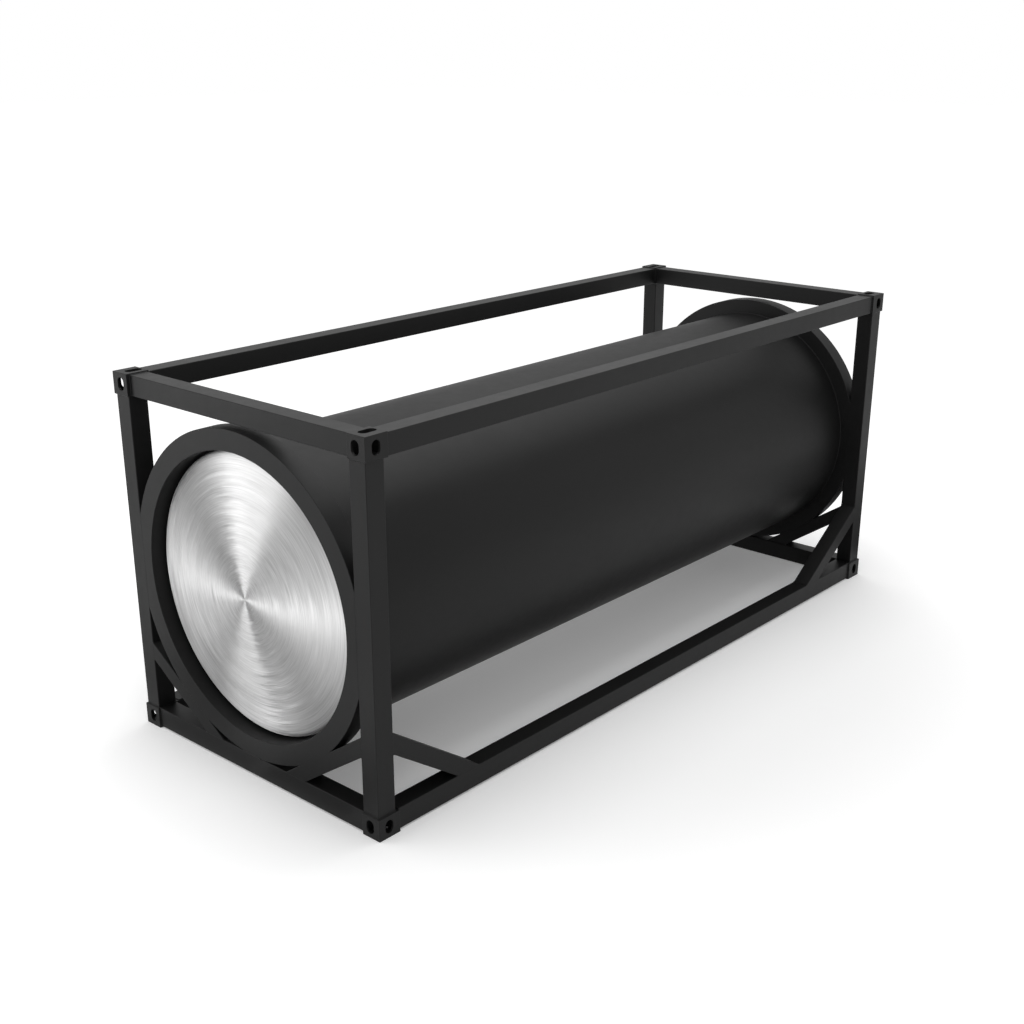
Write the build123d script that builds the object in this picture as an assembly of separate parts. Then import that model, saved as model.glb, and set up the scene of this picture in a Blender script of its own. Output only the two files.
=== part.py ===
from build123d import *
import os
from math import asin, atan2, cos, degrees, pi, radians, sin, sqrt

# Twenty-foot tank container. A horizontal barrel is carried at each end by a wide ring, and the
# rings are welded into an open frame of box sections with a casting at each of its eight corners.
# X runs along the length with the front end at -X, the left side is -Y and Z is up. The origin is
# the middle of the footprint, on the ground under the castings. All sizes are in millimetres.

# Overall size over the corner castings
LENGTH = 6058.0
WIDTH = 2438.0
HEIGHT = 2591.0

# How far the castings stand outside the frame's faces, below its base and above its roof
END_STEP = 9.0
SIDE_STEP = 13.0
BASE_STEP = 11.0
ROOF_STEP = 10.0

# Box sections of the frame, and how far the end rails lie behind the posts' front faces
POST_WIDTH = 137.0
POST_DEPTH = 144.0
RAIL_WIDTH = 137.0
BASE_RAIL_HEIGHT = 146.0
ROOF_RAIL_HEIGHT = 141.0
BASE_RAIL_INSET = 3.0
ROOF_RAIL_INSET = 18.0
SECTION_ROUND = 5.0

# Corner castings, a little wider than the posts
CASTING_X = 178.0
CASTING_LAP = 4.0
CASTING_Y = SIDE_STEP + POST_WIDTH + CASTING_LAP
CASTING_Z = 153.0
CASTING_EDGE = 3.0
PLATE = 28.5
OUTER_WALL = 15.0
INNER_WALL = 12.0
CROWN_WALL = 15.0
LOCK_SLOT = 124.5
LOCK_SLOT_WIDTH = 63.5
LOCK_INSET_X = 102.5
LOCK_INSET_Y = 89.5
LASH_HEIGHT = 92.0
LASH_WIDTH = 66.0
LASH_INSET = 84.0
LASH_DROP = 77.0

# Braces across the frame's lower corners. The side ones are given by where their lower edge meets
# the post and the rail, the end ones by their slope and by how far the ring is let into them.
SIDE_BRACE_RISE = 389.0
SIDE_BRACE_RUN = 563.0
SIDE_BRACE_WIDTH = 117.0
END_BRACE_SLOPE = 34.45
END_BRACE_WIDTH = 110.0
BRACE_DEPTH = 132.0
RING_INTO_BRACE = 15.0

# End rings: how far they reach behind the posts' inner faces, clear the roof rail and are let
# into the base rail, then the width of their band
POST_LAP = 55.0
ROOF_GAP = 37.0
RING_SEAT = 2.0
RING_BAND = 143.0
RING_EDGE = 3.0

# Barrel and dished ends
BARREL_OVER_RING = 22.0
HEAD_GAP = 12.0
HEAD_KNUCKLE = 40.0
HEAD_FLANGE = 11.0
APEX_SETBACK = 17.0

# Planes that the pieces share
FRONT_X = -LENGTH / 2 + END_STEP
LEFT_Y = -WIDTH / 2 + SIDE_STEP
POST_BACK_X = FRONT_X + POST_DEPTH
POST_INSIDE_Y = LEFT_Y + POST_WIDTH
CASTING_BACK_X = -LENGTH / 2 + CASTING_X
CASTING_INSIDE_Y = -WIDTH / 2 + CASTING_Y
BASE_BOTTOM_Z = BASE_STEP
BASE_TOP_Z = BASE_STEP + BASE_RAIL_HEIGHT
ROOF_TOP_Z = HEIGHT - ROOF_STEP
ROOF_BOTTOM_Z = ROOF_TOP_Z - ROOF_RAIL_HEIGHT

# The tank fills the frame's opening, across or in height, whichever is the tighter
CLEAR_HALF = -POST_INSIDE_Y
CLEAR_HEIGHT = ROOF_BOTTOM_Z - BASE_TOP_Z
RING_OUTER_R = min(CLEAR_HALF + POST_LAP, (CLEAR_HEIGHT - ROOF_GAP + RING_SEAT) / 2)
RING_INNER_R = RING_OUTER_R - RING_BAND
BARREL_R = RING_INNER_R + BARREL_OVER_RING
AXIS_Z = BASE_TOP_Z - RING_SEAT + RING_OUTER_R

# Ends and sides of the container: name, direction
ENDS = [("front", -1), ("rear", 1)]
SIDES = [("left", -1), ("right", 1)]

# Rails of the base and the roof: name, underside, height, inset of the end rails
LEVELS = [
    ("base", BASE_BOTTOM_Z, BASE_RAIL_HEIGHT, BASE_RAIL_INSET),
    ("roof", ROOF_BOTTOM_Z, ROOF_RAIL_HEIGHT, ROOF_RAIL_INSET),
]


def span_box(x0, x1, y0, y1, z0, z1):
    """Block between two opposite corners."""
    block = Box(x1 - x0, y1 - y0, z1 - z0)
    return Pos((x0 + x1) / 2, (y0 + y1) / 2, (z0 + z1) / 2) * block


def section_bar(plane, width, height, length):
    """Box section with rounded corners, extruded along a plane's normal."""
    return extrude(plane * RectangleRounded(width, height, SECTION_ROUND), length)


def placed(solid, end=-1, side=-1):
    """Front left piece as it is, or mirrored to the rear end and the right side."""
    if end > 0:
        solid = mirror(solid, about=Plane.YZ)
    if side > 0:
        solid = mirror(solid, about=Plane.XZ)
    return solid


def at_roof(solid):
    """Base piece mirrored to the roof."""
    return mirror(solid, about=Plane.XY.offset(HEIGHT / 2))


def write(name, solid):
    """One STEP file per piece."""
    solid.label = name
    export_step(solid, f"parts/{name}.step")


def corner_casting():
    """Hollow casting of the base's front left corner, open to the ground, the end and the side."""
    corner_x = -LENGTH / 2
    corner_y = -WIDTH / 2
    block = span_box(corner_x, corner_x + CASTING_X, corner_y, corner_y + CASTING_Y, 0, CASTING_Z)
    block = fillet(block.edges(), CASTING_EDGE)
    cavity = span_box(
        corner_x + OUTER_WALL, corner_x + CASTING_X - INNER_WALL,
        corner_y + OUTER_WALL, corner_y + CASTING_Y - INNER_WALL,
        PLATE, CASTING_Z - CROWN_WALL,
    )
    lock_place = Pos(corner_x + LOCK_INSET_X, corner_y + LOCK_INSET_Y)
    lock = Plane.XY * lock_place * SlotOverall(LOCK_SLOT, LOCK_SLOT_WIDTH)
    lash = SlotOverall(LASH_HEIGHT, LASH_WIDTH, rotation=90)
    side_point = (corner_x + LASH_INSET, corner_y, LASH_DROP)
    end_point = (corner_x, corner_y + LASH_INSET, LASH_DROP)
    side_plane = Plane(origin=side_point, x_dir=(1, 0, 0), z_dir=(0, -1, 0))
    end_plane = Plane(origin=end_point, x_dir=(0, -1, 0), z_dir=(-1, 0, 0))
    side_reach = CASTING_Y / 2
    end_reach = CASTING_X / 2
    tools = [
        cavity,
        extrude(lock, PLATE + CASTING_EDGE),
        extrude(side_plane * lash, -side_reach),
        extrude(end_plane * lash, -end_reach),
    ]
    for tool in tools:
        block = block - tool
    return block


def corner_post():
    """Upright from the base casting to the roof casting."""
    middle_x = FRONT_X + POST_DEPTH / 2
    middle_y = LEFT_Y + POST_WIDTH / 2
    foot = Plane.XY.offset(CASTING_Z) * Pos(middle_x, middle_y)
    return section_bar(foot, POST_DEPTH, POST_WIDTH, HEIGHT - 2 * CASTING_Z)


def side_rail(bottom_z, height):
    """Long rail of the left side, from casting to casting."""
    start = Plane(
        origin=(CASTING_BACK_X, LEFT_Y + RAIL_WIDTH / 2, bottom_z + height / 2),
        x_dir=(0, 1, 0), z_dir=(1, 0, 0),
    )
    return section_bar(start, RAIL_WIDTH, height, -2 * CASTING_BACK_X)


def end_rail(bottom_z, height, inset):
    """Cross rail of the front end, from casting to casting, behind the posts' faces."""
    start = Plane(
        origin=(FRONT_X + inset + RAIL_WIDTH / 2, CASTING_INSIDE_Y, bottom_z + height / 2),
        x_dir=(-1, 0, 0), z_dir=(0, 1, 0),
    )
    return section_bar(start, RAIL_WIDTH, height, -2 * CASTING_INSIDE_Y)


def slanted_bar(rise, run, width):
    """Brace in the XZ plane, from a post's face at x = 0 down to a rail's top at z = 0."""
    reach = sqrt(rise ** 2 + run ** 2)
    slope = degrees(atan2(rise, run))
    middle = Pos(run / 2, 0, rise / 2) * Rot(0, slope, 0) * Pos(0, 0, width / 2)
    bar = extrude(Plane.YZ * RectangleRounded(BRACE_DEPTH, width, SECTION_ROUND), reach, both=True)
    room = span_box(0, 2 * reach, -BRACE_DEPTH, BRACE_DEPTH, 0, 2 * reach)
    return (middle * bar) & room


def side_brace():
    """Brace of the left face between the front post and the base rail."""
    bar = slanted_bar(SIDE_BRACE_RISE, SIDE_BRACE_RUN, SIDE_BRACE_WIDTH)
    return Pos(POST_BACK_X, LEFT_Y + BRACE_DEPTH / 2, BASE_TOP_Z) * bar


def end_brace():
    """Brace of the front face between the left post and the base rail, hollowed to seat the ring."""
    lean = sin(radians(END_BRACE_SLOPE))
    level = cos(radians(END_BRACE_SLOPE))
    corner_off_axis = lean * CLEAR_HALF + level * (AXIS_Z - BASE_TOP_Z)
    lower_edge = corner_off_axis - RING_OUTER_R + RING_INTO_BRACE - END_BRACE_WIDTH
    bar = slanted_bar(lower_edge / level, lower_edge / lean, END_BRACE_WIDTH)
    bar = Pos(FRONT_X + BRACE_DEPTH / 2, POST_INSIDE_Y, BASE_TOP_Z) * Rot(0, 0, 90) * bar
    return bar - ring_disc(RING_OUTER_R)


def ring_disc(radius):
    """Solid disc as deep as a post, on the tank's axis, with its face in the front plane."""
    face = Plane(origin=(FRONT_X, 0, AXIS_Z), x_dir=(0, 1, 0), z_dir=(1, 0, 0))
    return extrude(face * Circle(radius), POST_DEPTH)


def end_ring():
    """Wide ring that carries the barrel, trimmed to sit between the posts and on the base rail."""
    ring = ring_disc(RING_OUTER_R) - ring_disc(RING_INNER_R)
    ring = fillet(ring.edges().filter_by(GeomType.CIRCLE), RING_EDGE)
    room = span_box(
        FRONT_X, POST_BACK_X, POST_INSIDE_Y, -POST_INSIDE_Y, BASE_TOP_Z, ROOF_BOTTOM_Z,
    )
    return ring & room


def tank_barrel():
    """Closed barrel between the two rings' back faces."""
    face = Plane(origin=(POST_BACK_X, 0, AXIS_Z), x_dir=(0, 1, 0), z_dir=(1, 0, 0))
    return extrude(face * Circle(BARREL_R), -2 * POST_BACK_X)


def tank_end():
    """Dished end inside the ring: a short straight flange, a knuckle and a shallow crown."""
    radius = RING_INNER_R - HEAD_GAP
    turn_x = POST_BACK_X - HEAD_FLANGE
    knuckle_r = radius - HEAD_KNUCKLE
    apex_x = FRONT_X + APEX_SETBACK
    depth = turn_x - apex_x
    crown = (depth ** 2 + knuckle_r ** 2 - HEAD_KNUCKLE ** 2) / (2 * (depth - HEAD_KNUCKLE))
    centre_x = apex_x + crown
    join = asin(knuckle_r / (crown - HEAD_KNUCKLE))
    mid_turn = (join + pi / 2) / 2
    crown_start = (apex_x, 0)
    crown_middle = (centre_x - crown * cos(join / 2), crown * sin(join / 2))
    crown_end = (centre_x - crown * cos(join), crown * sin(join))
    knuckle_middle = (
        turn_x - HEAD_KNUCKLE * cos(mid_turn), knuckle_r + HEAD_KNUCKLE * sin(mid_turn),
    )
    outline = [
        ThreePointArc(crown_start, crown_middle, crown_end),
        ThreePointArc(crown_end, knuckle_middle, (turn_x, radius)),
        Line((turn_x, radius), (POST_BACK_X, radius)),
        Line((POST_BACK_X, radius), (POST_BACK_X, 0)),
        Line((POST_BACK_X, 0), crown_start),
    ]
    turned = revolve(make_face(Curve() + outline), axis=Axis.X)
    return Pos(0, 0, AXIS_Z) * turned


def build_castings():
    """Eight corner castings."""
    base = corner_casting()
    roof = at_roof(base)
    for end_name, end in ENDS:
        for side_name, side in SIDES:
            write(f"casting_base_{end_name}_{side_name}", placed(base, end, side))
            write(f"casting_roof_{end_name}_{side_name}", placed(roof, end, side))


def build_frame():
    """Posts, rails and braces."""
    for level_name, bottom_z, height, inset in LEVELS:
        for side_name, side in SIDES:
            rail = placed(side_rail(bottom_z, height), side=side)
            write(f"{level_name}_side_rail_{side_name}", rail)
        for end_name, end in ENDS:
            rail = placed(end_rail(bottom_z, height, inset), end=end)
            write(f"{level_name}_end_rail_{end_name}", rail)
    for end_name, end in ENDS:
        for side_name, side in SIDES:
            corner = f"{end_name}_{side_name}"
            write(f"post_{corner}", placed(corner_post(), end, side))
            write(f"side_brace_{corner}", placed(side_brace(), end, side))
            write(f"end_brace_{corner}", placed(end_brace(), end, side))


def build_tank():
    """Barrel, rings and dished ends."""
    write("tank_barrel", tank_barrel())
    for end_name, end in ENDS:
        write(f"end_ring_{end_name}", placed(end_ring(), end=end))
        write(f"tank_end_{end_name}", placed(tank_end(), end=end))


os.makedirs("parts", exist_ok=True)
build_castings()
build_frame()
build_tank()
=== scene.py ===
import math

import bmesh
import bpy
from bpy.props import FloatProperty, FloatVectorProperty, PointerProperty
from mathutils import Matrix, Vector


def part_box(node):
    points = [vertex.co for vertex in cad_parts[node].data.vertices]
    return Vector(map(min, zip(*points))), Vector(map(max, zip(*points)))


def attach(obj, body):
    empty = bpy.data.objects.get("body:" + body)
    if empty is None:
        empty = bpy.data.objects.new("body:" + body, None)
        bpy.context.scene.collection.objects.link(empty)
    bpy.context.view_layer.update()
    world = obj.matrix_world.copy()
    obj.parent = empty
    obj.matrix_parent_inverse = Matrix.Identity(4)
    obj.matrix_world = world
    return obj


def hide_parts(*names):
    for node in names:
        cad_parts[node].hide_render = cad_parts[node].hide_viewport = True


bl_info = {
    "name": "Tank container",
    "version": (1, 0, 0),
    "blender": (4, 5, 0),
    "location": "View3D > Sidebar > Tank container",
    "description": "Satin black tank container with brushed dished ends, over its CAD frame",
    "category": "Object",
}

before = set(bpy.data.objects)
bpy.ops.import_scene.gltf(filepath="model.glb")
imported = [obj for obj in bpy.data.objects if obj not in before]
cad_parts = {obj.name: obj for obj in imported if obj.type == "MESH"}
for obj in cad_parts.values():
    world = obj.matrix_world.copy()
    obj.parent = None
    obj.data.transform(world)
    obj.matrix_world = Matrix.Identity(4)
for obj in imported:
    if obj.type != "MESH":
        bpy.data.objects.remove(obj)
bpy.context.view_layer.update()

# Height of the tank's axis and its radii, from the frame's own boxes
BARREL_LOW, BARREL_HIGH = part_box("tank_barrel")
TANK_AXIS_Z = (BARREL_LOW.z + BARREL_HIGH.z) / 2
BARREL_RADIUS = (BARREL_HIGH.z - BARREL_LOW.z) / 2
HEAD_LOW, HEAD_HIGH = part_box("tank_end_front")
HEAD_RADIUS = (HEAD_HIGH.z - HEAD_LOW.z) / 2

# Camera of the photo's view: place in metres, turn and rise, and shifts of the picture
CAMERA_PLACE = (-8.02376, -6.70971, 4.67706)
CAMERA_TURN = math.radians(-48.53565)
CAMERA_RISE = math.radians(20.42461)
CAMERA_SHIFT = (0.001134, 0.036914)
CAMERA_REACH = 400.0
SENSOR_WIDTH = 36.0

# Soft boxes: name, place, the point they face, width and height
TOP_BOX = ("top_light", (0.0, 0.0, 7.0), (0.0, 0.0, 0.0), 10.0, 6.0)
FRONT_BOX = ("front_light", (-7.575, 4.716, 2.134), (-3.0, 0.0, 1.3), 3.341, 2.143)

# Cards that glow at their level and only reflections show, as painted reflections of dark and pale
# surroundings: name, level, x, y and z spans in metres
CARDS = (
    ("front_card", 0.253, (-7.2, -7.2), (0.642, 2.222), (0.918, 5.392)),
    ("low_card", 0.059, (-6.0, -6.0), (1.706, 3.501), (0.737, 1.610)),
    ("far_card", 0.006, (-5.991, -4.472), (1.779, 3.306), (0.010, 0.010)),
    ("near_card", 0.038, (-5.053, -3.444), (0.752, 2.014), (0.010, 0.010)),
    ("mid_card", 0.387, (-3.230, -3.060), (0.129, 1.212), (0.015, 0.015)),
    ("foot_card", 0.306, (-3.548, -3.060), (-0.850, -0.007), (0.020, 0.020)),
    ("sill_card", 1.40, (-3.505, -3.205), (0.150, 0.560), (0.025, 0.025)),
    ("side_card", 0.591, (-5.328, -3.772), (5.5, 5.5), (0.229, 4.056)),
    ("back_card", 0.80, (11.0, 11.0), (-6.0, 18.0), (0.0, 9.0)),
    # The under cards are painted shade under the tank, seen only in reflections
    ("under_card_left", 0.08, (-2.8, 2.8), (-0.95, -0.60), (0.010, 0.010)),
    ("under_card_right", 0.08, (-2.8, 2.8), (0.60, 0.95), (0.010, 0.010)),
)
# Cards that lie off the rear end too, turned half round
REAR_CARDS = ("far_card", "near_card", "mid_card", "foot_card")

# A painted pool of light on the floor that only reflections show, and its share off the rear end
POOL_CENTRE = (-7.174, 0.091, 0.0)
POOL_SHAPE = (0.901, 1.0, 1.0)
REAR_POOL = 0.6

# Floor: half its width, distances from the middle between which its glow rises, and the glow there
FLOOR_HALF = 90.0
GLOW_FROM, GLOW_TO = 2.2, 5.5
GLOW_LOW, GLOW_HIGH = 0.12, 0.46
# How far the dark under a base casting reaches past its inner edges
FOOT_EDGE = 0.004

WHITE = (1.0, 1.0, 1.0, 1.0)
BLACK = (0.0, 0.0, 0.0, 1.0)

# Steps of a full circle, and of a dished end's crown and knuckle
ROUND_STEPS = 256
CROWN_STEPS = 40
KNUCKLE_STEPS = 16

# A dished end's knuckle radius and flange length, and its steel's roughness
HEAD_KNUCKLE = 0.040
HEAD_FLANGE = 0.011
STEEL_ROUGHNESS = 0.45

# What the corner castings have beyond the frame's paint
CASTING_ROUGHER = 0.02
CASTING_GRAIN = 0.35

# Widths of the braces, across their slope
SIDE_BRACE_WIDTH = 0.117
END_BRACE_WIDTH = 0.110

# Ground welds: how far they stand proud, lie beside the joint and lie inside the ring, and the
# steps of their arc along the ring
WELD_PROUD = 0.0003
WELD_ASIDE = 0.0025
RING_INSET = 0.001
ARC_STEPS = 24

# Corner beads: how far they cut a rounded corner, lie inside an edge and stay under the rail's top
CORNER_CUT = 0.003
EDGE_INSET = 0.004
RAIL_DROP = 0.001


class Recipe:
    """One material while its nodes are laid down and joined."""

    def __init__(self, name):
        self.material = bpy.data.materials.new(name)
        self.material.use_nodes = True
        tree = self.material.node_tree
        self.nodes = tree.nodes
        self.links = tree.links
        self.shader = self.nodes["Principled BSDF"]

    def add(self, kind, inputs=None, **settings):
        """A new node with its settings, and its inputs as values or as sockets to join."""
        node = self.nodes.new(kind)
        for key, value in settings.items():
            setattr(node, key, value)
        for key, value in (inputs or {}).items():
            self.feed(node.inputs[key], value)
        return node

    def feed(self, socket, value):
        """A value or another node's output into a socket."""
        if isinstance(value, bpy.types.NodeSocket):
            self.links.new(value, socket)
        else:
            socket.default_value = value

    def sum(self, operation, *values):
        """Result of a math node."""
        inputs = {place: value for place, value in enumerate(values)}
        return self.add("ShaderNodeMath", inputs, operation=operation).outputs[0]

    def noise(self, vector, scale, detail, roughness=0.5):
        """Seamless noise between about 0.3 and 0.7."""
        inputs = {"Vector": vector, "Scale": scale, "Detail": detail, "Roughness": roughness}
        return self.add("ShaderNodeTexNoise", inputs, noise_dimensions="3D").outputs["Fac"]

    def span(self, value, low, high, from_low=0.3, from_high=0.7):
        """A value stretched from one range to another."""
        inputs = {
            "Value": value, "From Min": from_low, "From Max": from_high,
            "To Min": low, "To Max": high,
        }
        return self.add("ShaderNodeMapRange", inputs).outputs["Result"]

    def tint(self, colour, factor):
        """A colour made darker or lighter by a factor."""
        scale = self.add("ShaderNodeVectorMath", {0: colour, "Scale": factor}, operation="SCALE")
        return scale.outputs["Vector"]


def satin_paint(name, colour, roughness, gloss, sand=0.0):
    """Sprayed satin paint on steel: faint drift in tone and gloss, an orange peel skin, and the
    grain of a sand casting under it where asked."""
    paint = Recipe(name)
    place = paint.add("ShaderNodeTexCoord").outputs["Object"]
    drift = paint.noise(place, scale=1.1, detail=4.0)
    mottle = paint.noise(place, scale=14.0, detail=3.0)
    peel = paint.noise(place, scale=260.0, detail=2.0)
    tone = paint.sum("MULTIPLY", paint.span(drift, 0.88, 1.12), paint.span(mottle, 0.96, 1.04))
    paint.feed(paint.shader.inputs["Base Color"], paint.tint(tuple(colour), tone))
    sheen = paint.sum(
        "ADD", paint.span(drift, roughness - 0.03, roughness + 0.03),
        paint.span(mottle, -0.02, 0.02),
    )
    paint.feed(paint.shader.inputs["Roughness"], sheen)
    skin = paint.add("ShaderNodeBump", {"Strength": 0.06, "Distance": 0.0006, "Height": peel})
    if sand:
        lumps = paint.noise(place, scale=48.0, detail=5.0, roughness=0.62)
        cast = paint.add("ShaderNodeBump", {"Strength": sand, "Distance": 0.0022, "Height": lumps})
        paint.feed(skin.inputs["Normal"], cast.outputs["Normal"])
    paint.feed(paint.shader.inputs["Normal"], skin.outputs["Normal"])
    paint.shader.inputs["Specular IOR Level"].default_value = gloss
    return paint.material


def spun_steel(name, colour, roughness, pitch):
    """Steel brushed in circles round the tank's axis, with a radial spread of its gloss."""
    steel = Recipe(name)
    place = steel.add("ShaderNodeTexCoord").outputs["Object"]
    parts = steel.add("ShaderNodeSeparateXYZ", {0: place}).outputs
    up = steel.sum("SUBTRACT", parts["Z"], TANK_AXIS_Z)
    outward = steel.add("ShaderNodeCombineXYZ", {"X": 0.0, "Y": parts["Y"], "Z": up}).outputs[0]
    radius = steel.add("ShaderNodeVectorMath", {0: outward}, operation="LENGTH").outputs["Value"]
    spoke = steel.add("ShaderNodeVectorMath", {0: outward}, operation="NORMALIZE").outputs["Vector"]
    spoke_parts = steel.add("ShaderNodeSeparateXYZ", {0: spoke}).outputs

    def arcs(across, along):
        """Noise that is fine across the brushing and long along it."""
        vector = steel.add("ShaderNodeCombineXYZ", {
            "X": steel.sum("MULTIPLY", radius, across),
            "Y": steel.sum("MULTIPLY", spoke_parts["Y"], along),
            "Z": steel.sum("MULTIPLY", spoke_parts["Z"], along),
        }).outputs[0]
        return steel.noise(vector, scale=1.0, detail=3.0, roughness=0.6)

    fine = arcs(across=1.0 / pitch, along=2.4)
    strokes = arcs(across=0.38 / pitch, along=1.5)
    bands = arcs(across=0.08 / pitch, along=0.45)
    back = steel.sum("MULTIPLY", spoke_parts["Z"], -1.0)
    round_axis = steel.add("ShaderNodeCombineXYZ", {"X": 0.0, "Y": back, "Z": spoke_parts["Y"]})
    stray = steel.sum("ADD", steel.span(strokes, -0.10, 0.10), steel.span(fine, -0.07, 0.07))
    swing = steel.tint(round_axis.outputs[0], stray)
    tangent = steel.add("ShaderNodeVectorMath", {0: spoke, 1: swing}, operation="ADD")
    steel.feed(steel.shader.inputs["Tangent"], tangent.outputs["Vector"])
    tone = steel.sum("MULTIPLY", steel.span(fine, 0.84, 1.16), steel.span(bands, 0.95, 1.05))
    tone = steel.sum("MULTIPLY", tone, steel.span(strokes, 0.92, 1.08))
    steel.feed(steel.shader.inputs["Base Color"], steel.tint(tuple(colour), tone))
    gloss = steel.sum(
        "ADD", steel.span(fine, roughness - 0.03, roughness + 0.03), steel.span(bands, -0.04, 0.04),
    )
    steel.feed(steel.shader.inputs["Roughness"], gloss)
    groove = steel.add("ShaderNodeBump", {"Strength": 0.25, "Distance": 0.0004, "Height": fine})
    steel.feed(steel.shader.inputs["Normal"], groove.outputs["Normal"])
    steel.shader.inputs["Metallic"].default_value = 1.0
    steel.shader.inputs["Anisotropic"].default_value = 1.0
    return steel.material


def round_points(x, radius):
    """Points of a circle round the tank's axis, or its one point where it has no radius."""
    if radius < 1e-6:
        return [(x, 0.0, TANK_AXIS_Z)]
    turns = [2 * math.pi * step / ROUND_STEPS for step in range(ROUND_STEPS)]
    return [
        (x, radius * math.sin(turn), TANK_AXIS_Z + radius * math.cos(turn)) for turn in turns
    ]


def lathe(name, profile, material):
    """A closed turned piece from (x, radius) points, round the tank's axis."""
    mesh = bmesh.new()
    rows = [
        [mesh.verts.new(point) for point in round_points(x, radius)] for x, radius in profile
    ]
    for inner, outer in zip(rows, rows[1:]):
        for step in range(ROUND_STEPS):
            after = (step + 1) % ROUND_STEPS
            corners = []
            for corner in (
                inner[step % len(inner)], inner[after % len(inner)],
                outer[after % len(outer)], outer[step % len(outer)],
            ):
                if corner not in corners:
                    corners.append(corner)
            mesh.faces.new(corners)
    bmesh.ops.recalc_face_normals(mesh, faces=mesh.faces)
    for face in mesh.faces:
        face.smooth = True
    data = bpy.data.meshes.new(name)
    mesh.to_mesh(data)
    mesh.free()
    data.materials.append(material)
    piece = bpy.data.objects.new(name, data)
    bpy.context.scene.collection.objects.link(piece)
    return piece


def bead_tree(material):
    """Geometry nodes that lay an uneven round bead along every chain of edges."""
    tree = bpy.data.node_groups.new("weld_bead", "GeometryNodeTree")
    tree.interface.new_socket("Joints", in_out="INPUT", socket_type="NodeSocketGeometry")
    for label, value in (("Bead radius", 0.005), ("Step", 0.008), ("Unevenness", 0.0005)):
        socket = tree.interface.new_socket(label, in_out="INPUT", socket_type="NodeSocketFloat")
        socket.subtype = "DISTANCE"
        socket.default_value = value
    tree.interface.new_socket("Beads", in_out="OUTPUT", socket_type="NodeSocketGeometry")

    def add(kind, **settings):
        node = tree.nodes.new(kind)
        for key, value in settings.items():
            setattr(node, key, value)
        return node

    def join(source, output, target, entry):
        tree.links.new(source.outputs[output], target.inputs[entry])

    given = add("NodeGroupInput")
    chain = add("GeometryNodeMeshToCurve")
    points = add("GeometryNodeResampleCurve", mode="LENGTH")
    circle = add("GeometryNodeCurvePrimitiveCircle", mode="RADIUS")
    circle.inputs["Resolution"].default_value = 10
    bead = add("GeometryNodeCurveToMesh")
    bead.inputs["Fill Caps"].default_value = True
    place = add("GeometryNodeInputPosition")
    ripple = add("ShaderNodeTexNoise", noise_dimensions="3D")
    ripple.inputs["Scale"].default_value = 70.0
    ripple.inputs["Detail"].default_value = 1.0
    centred = add("ShaderNodeMath", operation="SUBTRACT")
    centred.inputs[1].default_value = 0.5
    height = add("ShaderNodeMath", operation="MULTIPLY")
    outward = add("GeometryNodeInputNormal")
    lift = add("ShaderNodeVectorMath", operation="SCALE")
    uneven = add("GeometryNodeSetPosition")
    smooth = add("GeometryNodeSetShadeSmooth")
    real = add("GeometryNodeRealizeInstances")
    paint = add("GeometryNodeSetMaterial")
    paint.inputs["Material"].default_value = material
    result = add("NodeGroupOutput")
    join(given, "Joints", chain, "Mesh")
    join(chain, "Curve", points, "Curve")
    join(given, "Step", points, "Length")
    join(given, "Bead radius", circle, "Radius")
    join(points, "Curve", bead, "Curve")
    join(circle, "Curve", bead, "Profile Curve")
    join(place, "Position", ripple, "Vector")
    join(ripple, "Fac", centred, 0)
    join(centred, "Value", height, 0)
    join(given, "Unevenness", height, 1)
    join(outward, "Normal", lift, "Vector")
    join(height, "Value", lift, "Scale")
    join(bead, "Mesh", uneven, "Geometry")
    join(lift, "Vector", uneven, "Offset")
    join(uneven, "Geometry", smooth, "Geometry")
    join(smooth, "Geometry", real, "Geometry")
    join(real, "Geometry", paint, "Geometry")
    join(paint, "Geometry", result, "Beads")
    return tree


def laid_beads(name, joints, radius, tree):
    """One plain mesh of beads along (points, closed) joints."""
    points, edges = [], []
    for path, closed in joints:
        first, count = len(points), len(path)
        points.extend(path)
        edges.extend((first + step, first + step + 1) for step in range(count - 1))
        if closed:
            edges.append((first + count - 1, first))
    chains = bpy.data.meshes.new(f"{name}_chains")
    chains.from_pydata(points, edges, [])
    source = bpy.data.objects.new(f"{name}_chains", chains)
    bpy.context.scene.collection.objects.link(source)
    modifier = source.modifiers.new("beads", "NODES")
    modifier.node_group = tree
    for item in tree.interface.items_tree:
        if item.in_out == "INPUT" and item.name == "Bead radius":
            modifier[item.identifier] = radius
    seen = source.evaluated_get(bpy.context.evaluated_depsgraph_get())
    data = bpy.data.meshes.new_from_object(seen)
    data.name = name
    bpy.data.objects.remove(source)
    bpy.data.meshes.remove(chains)
    mesh = bmesh.new()
    mesh.from_mesh(data)
    bmesh.ops.recalc_face_normals(mesh, faces=mesh.faces)
    mesh.to_mesh(data)
    mesh.free()
    if not data.polygons:
        raise RuntimeError(f"no beads were laid for {name}")
    piece = bpy.data.objects.new(name, data)
    bpy.context.scene.collection.objects.link(piece)
    return piece


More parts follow.
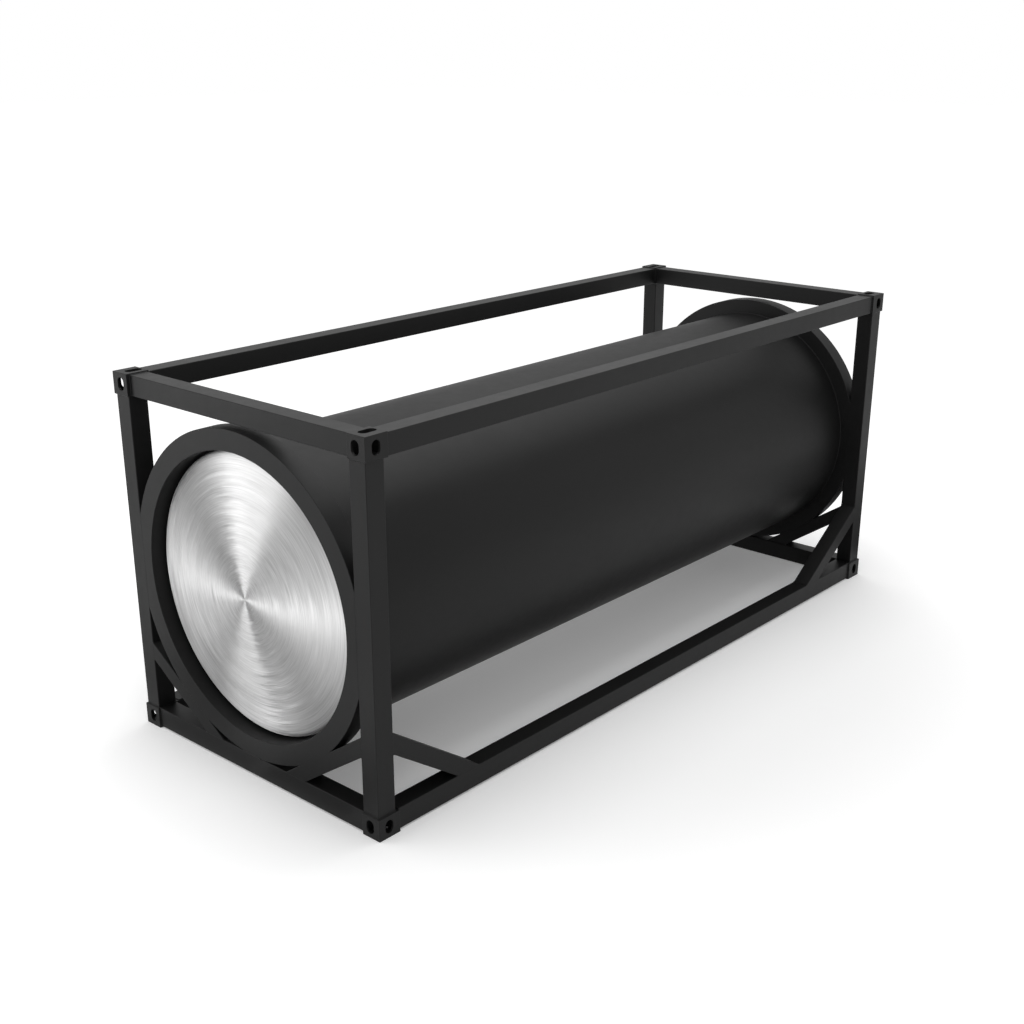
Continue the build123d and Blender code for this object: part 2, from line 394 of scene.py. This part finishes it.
class TankFinish(bpy.types.PropertyGroup):
    """Colours and sizes of the container's finish."""

    frame_colour: FloatVectorProperty(
        name="Frame colour", description="Paint of the posts, rails, braces and rings",
        subtype="COLOR", size=3, min=0.0, max=1.0, default=(0.006, 0.006, 0.006),
    )
    casting_colour: FloatVectorProperty(
        name="Casting colour", description="Paint of the corner castings",
        subtype="COLOR", size=3, min=0.0, max=1.0, default=(0.007, 0.007, 0.007),
    )
    barrel_colour: FloatVectorProperty(
        name="Barrel colour", description="Paint of the barrel",
        subtype="COLOR", size=3, min=0.0, max=1.0, default=(0.008, 0.008, 0.008),
    )
    steel_colour: FloatVectorProperty(
        name="Steel colour", description="Bare steel of the dished ends",
        subtype="COLOR", size=3, min=0.0, max=1.0, default=(0.605, 0.605, 0.605),
    )
    brush_pitch: FloatProperty(
        name="Brush pitch", description="Distance between the brushed circles",
        subtype="DISTANCE", unit="LENGTH", min=0.0005, max=0.02, default=0.0065,
    )
    frame_gloss: FloatProperty(
        name="Frame gloss", description="Strength of the frame paint's reflections",
        subtype="FACTOR", min=0.0, max=1.0, default=0.195,
    )
    frame_roughness: FloatProperty(
        name="Frame roughness", description="Softness of the frame paint's reflections",
        subtype="FACTOR", min=0.0, max=1.0, default=0.47,
    )
    barrel_gloss: FloatProperty(
        name="Barrel gloss", description="Strength of the barrel paint's reflections",
        subtype="FACTOR", min=0.0, max=1.0, default=0.15,
    )
    barrel_roughness: FloatProperty(
        name="Barrel roughness", description="Softness of the barrel paint's reflections",
        subtype="FACTOR", min=0.0, max=1.0, default=0.46,
    )
    ground_weld: FloatProperty(
        name="Ground weld",
        description="Radius of the welds ground flush between faces in one plane",
        subtype="DISTANCE", unit="LENGTH", min=0.002, max=0.02, default=0.008,
    )
    corner_weld: FloatProperty(
        name="Corner weld",
        description="Radius of the weld beads where two faces meet at an angle",
        subtype="DISTANCE", unit="LENGTH", min=0.002, max=0.02, default=0.0045,
    )


class StudioSettings(bpy.types.PropertyGroup):
    """Camera and light of the pale studio."""

    lens: FloatProperty(
        name="Lens", description="Focal length in millimetres on a 36 mm sensor",
        subtype="DISTANCE_CAMERA", min=10.0, max=200.0, default=48.714,
    )
    soft_level: FloatProperty(
        name="Soft level", description="Strength of the even light that matt surfaces get",
        min=0.0, max=2.0, default=0.62,
    )
    top_power: FloatProperty(
        name="Top light", description="Power of the wide light over the container",
        subtype="POWER", unit="POWER", min=0.0, max=5000.0, default=300.0,
    )
    key_power: FloatProperty(
        name="Front light", description="Power of the soft box off the front end",
        subtype="POWER", unit="POWER", min=0.0, max=5000.0, default=101.0,
    )
    pool_level: FloatProperty(
        name="Floor pool", description="Brightest reflection of the floor ahead of the front end",
        min=0.0, max=5.0, default=2.458,
    )
    pool_reach: FloatProperty(
        name="Pool reach", description="Distance from the pool's middle to where it fades out",
        subtype="DISTANCE", unit="LENGTH", min=0.1, max=20.0, default=2.856,
    )


def soft_box(name, place, target, width, height, power):
    """A rectangular lamp that faces a point."""
    lamp = bpy.data.lights.new(name, "AREA")
    lamp.shape = "RECTANGLE"
    lamp.size = width
    lamp.size_y = height
    lamp.energy = power
    piece = bpy.data.objects.new(name, lamp)
    piece.visible_camera = False
    bpy.context.scene.collection.objects.link(piece)
    piece.location = place
    piece.rotation_mode = "QUATERNION"
    piece.rotation_quaternion = (Vector(target) - Vector(place)).to_track_quat("-Z", "Y")


def glowing_reflection_card(name, level, x, y, z):
    """A flat card over three spans, of which one has no width, which glows at its level and only
    reflections show: a painted reflection, dark or pale.
    """
    if x[0] == x[1]:
        corners = [(x[0], y[0], z[0]), (x[0], y[1], z[0]), (x[0], y[1], z[1]), (x[0], y[0], z[1])]
    else:
        corners = [(x[0], y[0], z[0]), (x[1], y[0], z[0]), (x[1], y[1], z[1]), (x[0], y[1], z[1])]
    data = bpy.data.meshes.new(name)
    data.from_pydata(corners, [], [(0, 1, 2, 3)])
    card = bpy.data.objects.new(name, data)
    bpy.context.scene.collection.objects.link(card)
    matt = Recipe(name)
    matt.shader.inputs["Base Color"].default_value = BLACK
    matt.shader.inputs["Specular IOR Level"].default_value = 0.0
    # The card's glow is a painted reflection, not a lamp
    matt.shader.inputs["Emission Color"].default_value = WHITE
    matt.shader.inputs["Emission Strength"].default_value = level
    data.materials.append(matt.material)
    card.visible_camera = False
    card.visible_diffuse = False
    card.visible_shadow = False
    card.visible_transmission = False


class TANK_OT_stage(bpy.types.Operator):
    """Camera, pale floor, white surroundings and soft lamps"""

    bl_idname = "tank.stage"
    bl_label = "Studio"

    def execute(self, context):
        settings = context.scene.tank_studio
        camera = bpy.data.cameras.new("photo_camera")
        camera.lens = settings.lens
        camera.sensor_width = SENSOR_WIDTH
        camera.shift_x, camera.shift_y = CAMERA_SHIFT
        camera.clip_end = CAMERA_REACH
        eye = bpy.data.objects.new("photo_camera", camera)
        context.scene.collection.objects.link(eye)
        flat = math.cos(CAMERA_RISE)
        back = Vector((
            math.sin(CAMERA_TURN) * flat, -math.cos(CAMERA_TURN) * flat, math.sin(CAMERA_RISE),
        ))
        eye.location = CAMERA_PLACE
        eye.rotation_mode = "QUATERNION"
        eye.rotation_quaternion = (-back).to_track_quat("-Z", "Y")
        context.scene.camera = eye
        context.scene.view_settings.view_transform = "Standard"
        self.surroundings(context, settings)
        self.floor(context, settings)
        for name, level, x, y, z in CARDS:
            glowing_reflection_card(name, level, x, y, z)
            if name in REAR_CARDS:
                glowing_reflection_card(f"{name}_rear", level, (-x[1], -x[0]), (-y[1], -y[0]), z)
        soft_box(*TOP_BOX, settings.top_power)
        soft_box(*FRONT_BOX, settings.key_power)
        return {"FINISHED"}

    def surroundings(self, context, settings):
        """White to the camera and in reflections, a plain level for matt surfaces."""
        world = bpy.data.worlds.new("studio_world")
        world.use_nodes = True
        nodes, links = world.node_tree.nodes, world.node_tree.links
        nodes.clear()
        path = nodes.new("ShaderNodeLightPath")
        seen = path.outputs["Is Camera Ray"]
        for ray in ("Is Glossy Ray", "Is Transmission Ray"):
            either = nodes.new("ShaderNodeMath")
            either.operation = "MAXIMUM"
            links.new(seen, either.inputs[0])
            links.new(path.outputs[ray], either.inputs[1])
            seen = either.outputs[0]
        mix = nodes.new("ShaderNodeMixShader")
        links.new(seen, mix.inputs["Fac"])
        for place, strength in ((1, settings.soft_level), (2, 1.0)):
            shade = nodes.new("ShaderNodeBackground")
            shade.inputs["Color"].default_value = WHITE
            shade.inputs["Strength"].default_value = strength
            links.new(shade.outputs[0], mix.inputs[place])
        output = nodes.new("ShaderNodeOutputWorld")
        links.new(mix.outputs[0], output.inputs["Surface"])
        context.scene.world = world

    def floor(self, context, settings):
        """Wide pale floor that keeps the container's shadow."""
        half = FLOOR_HALF
        corners = [(-half, -half, 0.0), (half, -half, 0.0), (half, half, 0.0), (-half, half, 0.0)]
        data = bpy.data.meshes.new("studio_floor")
        data.from_pydata(corners, [], [(0, 1, 2, 3)])
        floor = bpy.data.objects.new("studio_floor", data)
        context.scene.collection.objects.link(floor)
        plain = Recipe("pale_floor")
        plain.shader.inputs["Base Color"].default_value = (0.92, 0.92, 0.92, 1.0)
        plain.shader.inputs["Roughness"].default_value = 0.9
        plain.shader.inputs["Specular IOR Level"].default_value = 0.0
        path = plain.add("ShaderNodeLightPath").outputs
        seen = plain.sum("MAXIMUM", path["Is Camera Ray"], path["Is Glossy Ray"])
        seen = plain.sum("MAXIMUM", seen, path["Is Transmission Ray"])
        place = plain.add("ShaderNodeTexCoord").outputs["Object"]
        across = plain.add(
            "ShaderNodeVectorMath", {0: place, 1: (1.0, 1.0, 0.0)}, operation="MULTIPLY",
        )
        away = plain.add("ShaderNodeVectorMath", {0: across.outputs[0]}, operation="LENGTH")
        rise = plain.add("ShaderNodeMapRange", {
            "Value": away.outputs["Value"], "From Min": GLOW_FROM, "From Max": GLOW_TO,
            "To Min": GLOW_LOW, "To Max": GLOW_HIGH,
        }, interpolation_type="SMOOTHSTEP").outputs["Result"]
        plain.shader.inputs["Emission Color"].default_value = WHITE
        glow = plain.sum("MULTIPLY", seen, rise)
        glow = plain.sum("MULTIPLY", glow, self.open_floor(plain, place))
        # Painted pool of light: the floor glows brighter in reflections only
        pool = plain.sum("MULTIPLY", path["Is Glossy Ray"], self.pool(plain, place, settings))
        plain.feed(plain.shader.inputs["Emission Strength"], plain.sum("ADD", glow, pool))
        data.materials.append(plain.material)

    def open_floor(self, plain, place):
        """Nothing under the castings, which shut the light out, and one elsewhere."""
        low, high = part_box("casting_base_rear_right")
        parts = plain.add("ShaderNodeSeparateXYZ", {0: place}).outputs
        along = plain.sum("ABSOLUTE", parts["X"])
        across = plain.sum("ABSOLUTE", parts["Y"])
        inside = 1.0
        for value, start, stop in ((along, low.x, high.x), (across, low.y, high.y)):
            past = plain.sum("GREATER_THAN", value, start - FOOT_EDGE)
            short = plain.sum("LESS_THAN", value, stop)
            inside = plain.sum("MULTIPLY", inside, plain.sum("MULTIPLY", past, short))
        return plain.sum("SUBTRACT", 1.0, inside)

    def pool(self, plain, place, settings):
        """A painted pool of light on the floor off the front end and, fainter, off the rear, that
        only reflections show.
        """
        along = plain.add("ShaderNodeSeparateXYZ", {0: place}).outputs["X"]
        front = plain.sum("LESS_THAN", along, 0.0)
        turned = plain.tint(place, plain.span(front, -1.0, 1.0, 0.0, 1.0))
        centre = plain.add(
            "ShaderNodeVectorMath", {0: turned, 1: POOL_CENTRE}, operation="SUBTRACT",
        )
        shape = plain.add(
            "ShaderNodeVectorMath", {0: centre.outputs[0], 1: POOL_SHAPE}, operation="MULTIPLY",
        )
        away = plain.add("ShaderNodeVectorMath", {0: shape.outputs[0]}, operation="LENGTH")
        level = plain.add("ShaderNodeMapRange", {
            "Value": away.outputs["Value"], "From Min": 0.0, "From Max": settings.pool_reach,
            "To Min": settings.pool_level, "To Max": 0.0,
        }, interpolation_type="SMOOTHSTEP").outputs["Result"]
        return plain.sum("MULTIPLY", level, plain.span(front, REAR_POOL, 1.0, 0.0, 1.0))


class TANK_OT_frame_finish(bpy.types.Operator):
    """Satin paint on the posts, rails, braces, rings and castings"""

    bl_idname = "tank.frame_finish"
    bl_label = "Frame finish"

    def execute(self, context):
        finish = context.scene.tank_finish
        frame_paint = satin_paint(
            "frame_paint", finish.frame_colour, finish.frame_roughness, finish.frame_gloss,
        )
        casting_paint = satin_paint(
            "casting_paint", finish.casting_colour, finish.frame_roughness + CASTING_ROUGHER,
            finish.frame_gloss, CASTING_GRAIN,
        )
        barrel_paint = satin_paint(
            "barrel_paint", finish.barrel_colour, finish.barrel_roughness, finish.barrel_gloss,
        )
        for name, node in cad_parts.items():
            paint = frame_paint
            if name.startswith("casting"):
                paint = casting_paint
            elif name == "tank_barrel":
                paint = barrel_paint
            elif name.startswith("tank_end"):
                continue
            for slot in node.material_slots:
                slot.material = paint
        return {"FINISHED"}


class TANK_OT_welds(bpy.types.Operator):
    """Ground welds that close the flush joints, and beads in the corners"""

    bl_idname = "tank.welds"
    bl_label = "Welds"

    def execute(self, context):
        finish = context.scene.tank_finish
        paint = bpy.data.materials.get("frame_paint")
        if paint is None:
            raise RuntimeError("the frame finish comes before the welds")
        tree = bead_tree(paint)
        for name, joints, radius in (
            ("ground_welds", self.flush_joints(finish.ground_weld), finish.ground_weld),
            ("corner_welds", self.corner_joints(), finish.corner_weld),
        ):
            piece = laid_beads(name, joints, radius, tree)
            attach(piece, "root")
        return {"FINISHED"}

    def brace_joints(self, brace, post_plane, axis, width):
        """Slope of a brace, its heights on the post and the ends of its foot on the rail."""
        low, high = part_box(brace)
        run = getattr(high, axis) - getattr(low, axis)
        slope = math.atan2(high.z - low.z, run)
        toe = post_plane + run
        return {
            "slope": slope, "top": high.z, "bottom": high.z - width / math.cos(slope),
            "toe": toe, "heel": toe - width / math.sin(slope), "foot": low.z,
        }

    def corner_sizes(self):
        """The front left post's box, its two braces and the ring's outer radius."""
        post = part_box("post_front_left")
        side = self.brace_joints("side_brace_front_left", post[1].x, "x", SIDE_BRACE_WIDTH)
        end = self.brace_joints("end_brace_front_left", post[1].y, "y", END_BRACE_WIDTH)
        ring_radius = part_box("end_ring_front")[1].z - TANK_AXIS_Z
        return post, side, end, ring_radius

    def four_corners(self, joints):
        """The front left corner's joints, mirrored to the other three."""
        placed = []
        for along in (1, -1):
            for across in (1, -1):
                for path, closed in joints:
                    placed.append(([(x * along, y * across, z) for x, y, z in path], closed))
        return placed

    def flush_joints(self, radius):
        """Joints between faces that lie in one plane, with the bead just under that plane."""
        post, side, end, ring = self.corner_sizes()
        (face_x, side_y, _), (back_x, inside_y, _) = post
        sink = radius - WELD_PROUD
        front_x, rear_x, outer_y = face_x + sink, back_x - sink, side_y + sink
        seam_x, seam_y = back_x - WELD_ASIDE, inside_y - WELD_ASIDE
        foot = side["foot"] - WELD_ASIDE
        reach = math.sqrt(ring ** 2 - inside_y ** 2)
        lower, upper = TANK_AXIS_Z - reach, TANK_AXIS_Z + reach
        lines = (
            [(front_x, seam_y, lower), (front_x, seam_y, upper)],
            [(rear_x, seam_y, lower), (rear_x, seam_y, upper)],
            [(seam_x, outer_y, side["bottom"]), (seam_x, outer_y, side["top"])],
            [(side["heel"], outer_y, foot), (side["toe"], outer_y, foot)],
            [(front_x, seam_y, end["bottom"]), (front_x, seam_y, end["top"])],
            self.ring_arc(front_x, inside_y, end, ring),
        )
        return self.four_corners([(line, False) for line in lines])

    def ring_arc(self, x, inside_y, brace, ring):
        """The ring's edge between the two edges of an end brace."""
        slope = brace["slope"]
        off_axis = -math.sin(slope) * inside_y + math.cos(slope) * (TANK_AXIS_Z - brace["foot"])
        inner_edge = off_axis - (brace["top"] - brace["foot"]) * math.cos(slope)
        spread = math.acos(inner_edge / ring)
        radius = ring - RING_INSET
        arc = []
        for step in range(ARC_STEPS + 1):
            turn = slope + spread * (2 * step / ARC_STEPS - 1)
            arc.append((x, -radius * math.sin(turn), TANK_AXIS_Z - radius * math.cos(turn)))
        return arc

    def corner_joints(self):
        """Joints where two faces meet at an angle, with the bead on their shared line."""
        post, side, end, ring = self.corner_sizes()
        (face_x, side_y, foot_z), (back_x, inside_y, head_z) = post
        cut = CORNER_CUT
        joints = []
        for z in (foot_z, head_z):
            joints.append(([
                (face_x + cut, side_y, z), (back_x - cut, side_y, z),
                (back_x, side_y + cut, z), (back_x, inside_y - cut, z),
                (back_x - cut, inside_y, z), (face_x + cut, inside_y, z),
                (face_x, inside_y - cut, z), (face_x, side_y + cut, z),
            ], True))
        for level, closed in (("base", False), ("roof", True)):
            low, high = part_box(f"{level}_side_rail_left")
            top = high.z - RAIL_DROP if closed else foot_z - cut
            joints.append(([
                (low.x, low.y, top), (low.x, low.y, low.z),
                (low.x, high.y, low.z), (low.x, high.y, top),
            ], closed))
            low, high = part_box(f"{level}_end_rail_front")
            joints.append(([
                (low.x, low.y, top), (low.x, low.y, low.z),
                (high.x, low.y, low.z), (high.x, low.y, top),
            ], closed))
        low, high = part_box("side_brace_front_left")
        joints.append(([
            (back_x, low.y, side["bottom"]), (back_x, high.y, side["bottom"]),
            (back_x, high.y, side["top"]), (back_x, low.y, side["top"]),
        ], False))
        joints.append(([
            (side["heel"], low.y, low.z), (side["heel"], high.y, low.z),
            (side["toe"], high.y, low.z), (side["toe"], low.y, low.z),
        ], False))
        low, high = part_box("end_brace_front_left")
        inner_x = low.x + EDGE_INSET
        joints.append(([
            (low.x, inside_y, end["bottom"]), (high.x, inside_y, end["bottom"]),
            (high.x, inside_y, end["top"]), (low.x, inside_y, end["top"]),
        ], False))
        joints.append(([
            (inner_x, end["heel"], low.z), (high.x, end["heel"], low.z),
            (high.x, end["toe"], low.z), (inner_x, end["toe"], low.z),
        ], True))
        return self.four_corners(joints) + self.ring_joints(face_x, back_x, ring)

    def ring_joints(self, face_x, back_x, ring):
        """Joints of the rings with the end rails under them and with the barrel behind them."""
        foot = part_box("base_end_rail_front")[1].z
        half = math.sqrt(ring ** 2 - (TANK_AXIS_Z - foot) ** 2)
        front, back = face_x + CORNER_CUT, back_x - EDGE_INSET
        joints = [
            ([(x, -half, foot), (x, half, foot)], False) for x in (front, back, -front, -back)
        ]
        joints.extend((round_points(x, BARREL_RADIUS), True) for x in (back_x, -back_x))
        return joints


class TANK_OT_dished_ends(bpy.types.Operator):
    """Brushed dished ends inside the rings"""

    bl_idname = "tank.dished_ends"
    bl_label = "Dished ends"

    def execute(self, context):
        finish = context.scene.tank_finish
        steel = spun_steel(
            "brushed_steel", finish.steel_colour, STEEL_ROUGHNESS, finish.brush_pitch,
        )
        for end, sign in (("front", -1), ("rear", 1)):
            low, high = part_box(f"tank_end_{end}")
            seat = low.x if sign > 0 else high.x
            apex = high.x if sign > 0 else low.x
            depth = abs(apex - seat)
            piece = lathe(f"dished_end_{end}", self.profile(seat, sign, depth), steel)
            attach(piece, "root")
            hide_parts(f"tank_end_{end}")
        return {"FINISHED"}

    def profile(self, seat, sign, depth):
        """Apex, crown, knuckle, flange and flat back, as (x, radius)."""
        knuckle, flange = HEAD_KNUCKLE, HEAD_FLANGE
        turn_radius = HEAD_RADIUS - knuckle
        rise = depth - flange
        crown = (rise ** 2 + turn_radius ** 2 - knuckle ** 2) / (2 * (rise - knuckle))
        join = math.asin(turn_radius / (crown - knuckle))
        points = []
        for step in range(CROWN_STEPS + 1):
            turn = join * step / CROWN_STEPS
            points.append((
                seat + sign * (depth - crown + crown * math.cos(turn)), crown * math.sin(turn),
            ))
        for step in range(1, KNUCKLE_STEPS + 1):
            turn = join + (math.pi / 2 - join) * step / KNUCKLE_STEPS
            points.append((
                seat + sign * (flange + knuckle * math.cos(turn)),
                turn_radius + knuckle * math.sin(turn),
            ))
        points.append((seat, HEAD_RADIUS))
        points.append((seat, 0.0))
        return points


class TANK_PT_panel(bpy.types.Panel):
    """Sizes, colours and pieces of the tank container"""

    bl_label = "Tank container"
    bl_idname = "TANK_PT_panel"
    bl_space_type = "VIEW_3D"
    bl_region_type = "UI"
    bl_category = "Tank container"

    def draw(self, context):
        layout = self.layout
        for group in (context.scene.tank_finish, context.scene.tank_studio):
            box = layout.box()
            for name in group.__annotations__:
                box.prop(group, name)
        for operator in OPERATORS:
            layout.operator(operator.bl_idname)


OPERATORS = (
    TANK_OT_stage,
    TANK_OT_frame_finish,
    TANK_OT_welds,
    TANK_OT_dished_ends,
)
CLASSES = (TankFinish, StudioSettings, *OPERATORS, TANK_PT_panel)


def register():
    for part in CLASSES:
        bpy.utils.register_class(part)
    bpy.types.Scene.tank_finish = PointerProperty(type=TankFinish)
    bpy.types.Scene.tank_studio = PointerProperty(type=StudioSettings)


def unregister():
    del bpy.types.Scene.tank_studio
    del bpy.types.Scene.tank_finish
    for part in reversed(CLASSES):
        bpy.utils.unregister_class(part)


def main():
    register()
    bpy.ops.tank.stage()
    bpy.ops.tank.frame_finish()
    bpy.ops.tank.welds()
    bpy.ops.tank.dished_ends()


if __name__ == "__main__":
    main()
